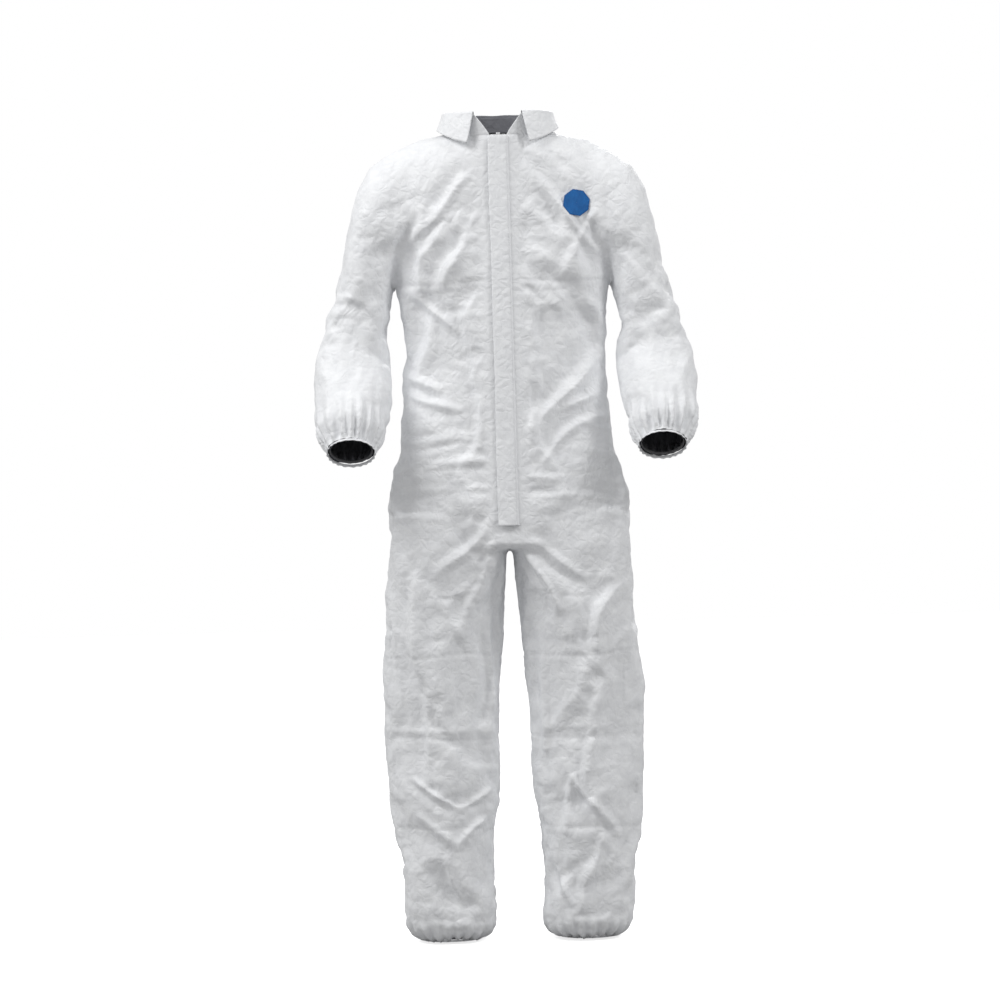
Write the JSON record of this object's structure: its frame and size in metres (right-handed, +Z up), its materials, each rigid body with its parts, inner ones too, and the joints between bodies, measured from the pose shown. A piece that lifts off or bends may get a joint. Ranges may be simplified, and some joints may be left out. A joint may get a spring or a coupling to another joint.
{
  "type": "chemical protective suit",
  "caption": "Disposable white protective coverall with a fold-down collar, zipped front under a storm flap, and elastic wrists, waist and ankles.",
  "frame": {"origin": "middle of the neck opening, level with the neck seam at the sides", "axes": "+Z up along the body, front towards -Y, the wearer's left side at +X"},
  "size_m": [0.726, 0.3187, 1.598],
  "materials": {
    "suit_cloth": "matte",
    "seam_allowance": "matte",
    "elastic": "matte",
    "zipper_tape": "matte",
    "zipper_nylon": "satin",
    "slider_metal": "satin",
    "badge_print": "matte",
    "label_cloth": "matte"
  },
  "bodies": {
    "torso": {"left_front_body": "suit_cloth", "right_front_body": "suit_cloth", "left_back_body": "suit_cloth", "right_back_body": "suit_cloth", "left_side_seam": "seam_allowance", "right_side_seam": "seam_allowance", "left_shoulder_seam": "seam_allowance", "right_shoulder_seam": "seam_allowance", "centre_back_seam": "seam_allowance", "back_waist_elastic": "elastic", "collar_stand": "suit_cloth", "collar_leaf": "suit_cloth", "left_zipper_tape": "zipper_tape", "right_zipper_tape": "zipper_tape", "left_zipper_coil": "zipper_nylon", "right_zipper_coil": "zipper_nylon", "zipper_top_stops": "zipper_nylon", "zipper_bottom_stop": "zipper_nylon", "chest_badge": "badge_print", "neck_size_label": "label_cloth"},
    "left_sleeve": {"left_sleeve": "suit_cloth", "left_armhole_seam": "seam_allowance", "left_underarm_seam": "seam_allowance", "left_wrist_elastic": "elastic", "left_wrist_hem": "suit_cloth"},
    "right_sleeve": {"right_sleeve": "suit_cloth", "right_armhole_seam": "seam_allowance", "right_underarm_seam": "seam_allowance", "right_wrist_elastic": "elastic", "right_wrist_hem": "suit_cloth"},
    "left_leg": {"left_front_leg": "suit_cloth", "left_back_leg": "suit_cloth", "left_outer_leg_seam": "seam_allowance", "left_inner_leg_seam": "seam_allowance", "left_ankle_hem": "suit_cloth", "left_ankle_elastic": "elastic"},
    "right_leg": {"right_front_leg": "suit_cloth", "right_back_leg": "suit_cloth", "right_outer_leg_seam": "seam_allowance", "right_inner_leg_seam": "seam_allowance", "right_ankle_hem": "suit_cloth", "right_ankle_elastic": "elastic"},
    "zipper_slider": {"zipper_slider": "slider_metal"},
    "zipper_pull": {"zipper_pull_tab": "slider_metal"},
    "storm_flap": {"storm_flap": "suit_cloth"}
  },
  "joints": [
    {"name": "left_sleeve_swing", "type": "hinge", "parent": "torso", "child": "left_sleeve", "pos_m": [0.208, 0, -0.156], "axis": [-1, 0, 0], "range_deg": [-25, 70]},
    {"name": "right_sleeve_swing", "type": "hinge", "parent": "torso", "child": "right_sleeve", "pos_m": [-0.208, 0, -0.156], "axis": [-1, 0, 0], "range_deg": [-25, 70]},
    {"name": "left_leg_swing", "type": "hinge", "parent": "torso", "child": "left_leg", "pos_m": [0.1125, -0.123, -0.807], "axis": [-1, 0, 0], "range_deg": [0, 35]},
    {"name": "right_leg_swing", "type": "hinge", "parent": "torso", "child": "right_leg", "pos_m": [-0.1125, -0.123, -0.807], "axis": [-1, 0, 0], "range_deg": [0, 35]},
    {"name": "zipper_slide", "type": "slide", "parent": "torso", "child": "zipper_slider", "axis": [0, -0.0488, -0.9988], "range_m": [0, 0.73]},
    {"name": "pull_tab_swing", "type": "hinge", "parent": "zipper_slider", "child": "zipper_pull", "pos_m": [0, -0.08783, -0.01271], "axis": [-1, 0, 0], "range_deg": [0, 7]},
    {"name": "storm_flap_open", "type": "hinge", "parent": "torso", "child": "storm_flap", "pos_m": [0.021, -0.10276, -0.37997], "axis": [0, 0.0488, 0.9988], "range_deg": [0, 105]}
  ]
}
